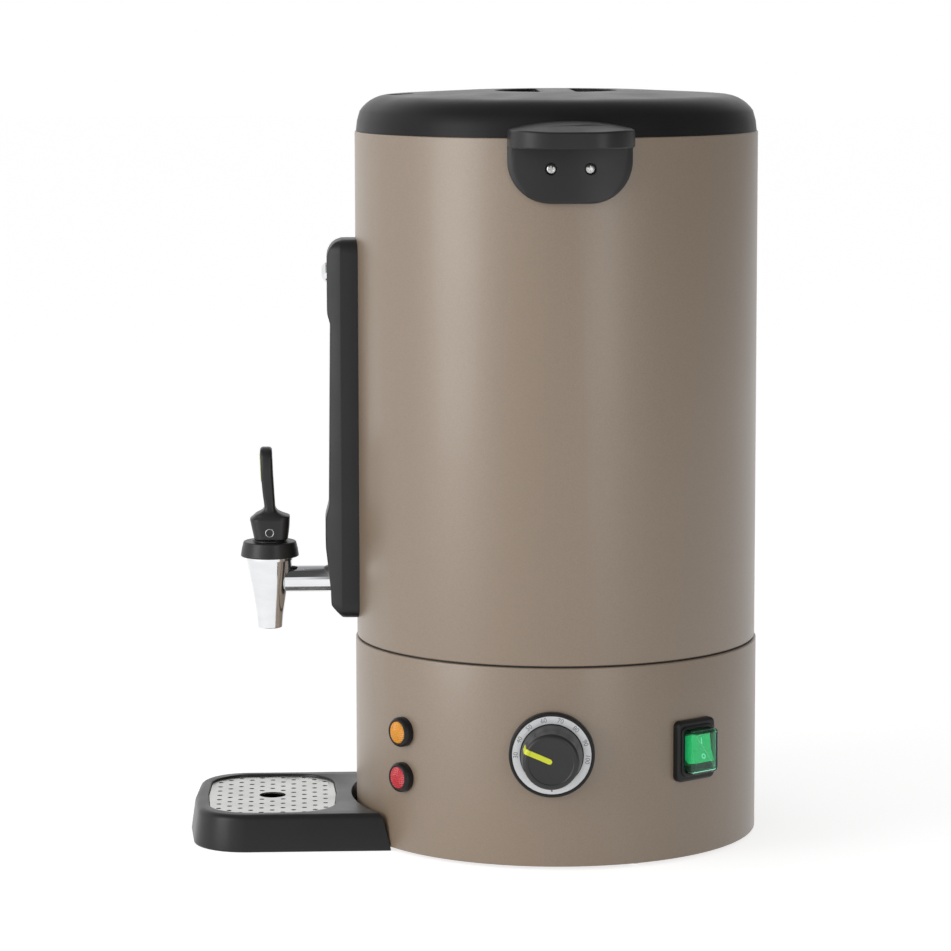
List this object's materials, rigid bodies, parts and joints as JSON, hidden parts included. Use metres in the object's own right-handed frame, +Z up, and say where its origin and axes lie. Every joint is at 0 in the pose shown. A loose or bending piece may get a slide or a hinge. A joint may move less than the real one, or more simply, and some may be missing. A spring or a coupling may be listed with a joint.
{
  "type": "hot water urn",
  "caption": "Tall round hot water urn with a lift-off lid, side handles, level gauge, spring tap, dial, rocker switch and a drip tray with a perforated grille.",
  "frame": {"origin": "on the urn's vertical axis, at the plane of its rubber foot on the table", "axes": "+Z up; -Y towards the tap, the gauge and the drip tray; the side handles on +X and -X; the dial, switch and lamps on the +X side"},
  "size_m": [0.35, 0.3852, 0.502],
  "materials": {
    "body_paint": "matt taupe powder coat",
    "floor_steel": "pressed zinc-coated sheet",
    "foot_rubber": "matt black rubber",
    "screws_steel": "plain steel",
    "nuts_steel": "plain steel",
    "seal_silicone": "soft silicone",
    "tank_steel": "brushed stainless steel",
    "heater_aluminium": "cast aluminium",
    "element_steel": "annealed stainless tube",
    "cutout_body": "moulded phenolic",
    "knob_black": "satin black moulding",
    "lime_plastic": "lime plastic",
    "trim_black": "satin black moulding",
    "scale_silver": "satin silver ring with printed marks",
    "rocker_green": "lit green rocker",
    "boot_clear_green": "clear green soft cover",
    "lens_amber": "faceted amber lens",
    "lens_red": "faceted red lens",
    "handle_black": "fine-grained black moulding",
    "gauge_inner": "moulded plastic",
    "gauge_glass": "clear glass",
    "chrome_plate": "polished plate",
    "tap_black": "satin black moulding",
    "tray_black": "satin black moulding",
    "lid_black": "satin black moulding"
  },
  "bodies": {
    "housing": {"base_shell": "body_paint", "body_shell": "body_paint", "bottom_plate": "floor_steel", "foot_ring": "foot_rubber", "base_screws": "screws_steel", "seam_screws": "screws_steel", "handle_screws": "screws_steel", "handle_nuts": "nuts_steel", "gauge_nut": "nuts_steel", "thermostat_nut": "nuts_steel", "tap_nut": "nuts_steel", "seam_gasket": "seal_silicone", "gauge_seals": "seal_silicone", "tap_washers": "seal_silicone", "tank": "tank_steel", "heater_plate": "heater_aluminium", "heating_element": "element_steel", "sensor_bulb": "element_steel", "valve_spring": "element_steel", "dry_boil_cutout": "cutout_body", "terminal_block": "cutout_body", "thermostat": "cutout_body", "switch_body": "cutout_body", "lamp_bodies": "cutout_body", "dial_bezel": "trim_black", "switch_frame": "trim_black", "lamp_bezel_amber": "trim_black", "lamp_bezel_red": "trim_black", "cable_gland": "trim_black", "gland_nut": "trim_black", "scale_ring": "scale_silver", "switch_boot": "boot_clear_green", "lamp_lens_amber": "lens_amber", "lamp_lens_red": "lens_red", "handle_left": "handle_black", "handle_right": "handle_black", "gauge_housing": "handle_black", "gauge_tee": "gauge_inner", "gauge_cap": "gauge_inner", "gauge_tube": "gauge_glass", "tap_body": "chrome_plate", "gauge_screw": "chrome_plate", "tap_bonnet": "tap_black"},
    "lid": {"lid_shell": "lid_black", "lid_liner": "tank_steel", "lid_seal": "seal_silicone", "lid_screws": "screws_steel"},
    "valve": {"valve_stem": "tank_steel", "valve_cup": "seal_silicone"},
    "lever": {"tap_lever": "tap_black", "lever_pin": "nuts_steel", "lever_insert": "lime_plastic"},
    "dial_knob": {"knob": "knob_black", "knob_pointer": "lime_plastic", "thermostat_shaft": "nuts_steel"},
    "rocker": {"switch_rocker": "rocker_green"},
    "tray": {"drip_tray": "tray_black"},
    "grille": {"drip_grille": "tank_steel"}
  },
  "joints": [
    {"name": "lid_lift", "type": "slide", "parent": "housing", "child": "lid", "axis": [0, 0, 1], "range_m": [0, 0.08]},
    {"name": "lever_tilt", "type": "hinge", "parent": "valve", "child": "lever", "pos_m": [0, -0.194, 0.2054], "axis": [1, 0, 0], "range_deg": [0, 24], "stiffness_Nm_per_rad": 0.15},
    {"name": "valve_lift", "type": "slide", "parent": "housing", "child": "valve", "axis": [0, 0, 1], "range_m": [0, 0.004], "deforming": ["valve_spring"]},
    {"name": "knob_turn", "type": "hinge", "parent": "housing", "child": "dial_knob", "pos_m": [0.1355, -0.01162, 0.0772], "axis": [0.9963, -0.0854, 0], "range_deg": [-161, 113]},
    {"name": "rocker_tip", "type": "hinge", "parent": "housing", "child": "rocker", "pos_m": [0.10775, 0.08298, 0.0739], "axis": [-0.6101, 0.7923, 0], "range_deg": [0, 24]},
    {"name": "tray_slide", "type": "slide", "parent": "housing", "child": "tray", "axis": [0, -1, 0], "range_m": [0, 0.12]},
    {"name": "grille_lift", "type": "slide", "parent": "tray", "child": "grille", "axis": [0, 0, 1], "range_m": [0, 0.06]}
  ],
  "couplings": [
    {"joint": "valve_lift", "follows": "lever_tilt", "m_per_rad": 0.009}
  ]
}
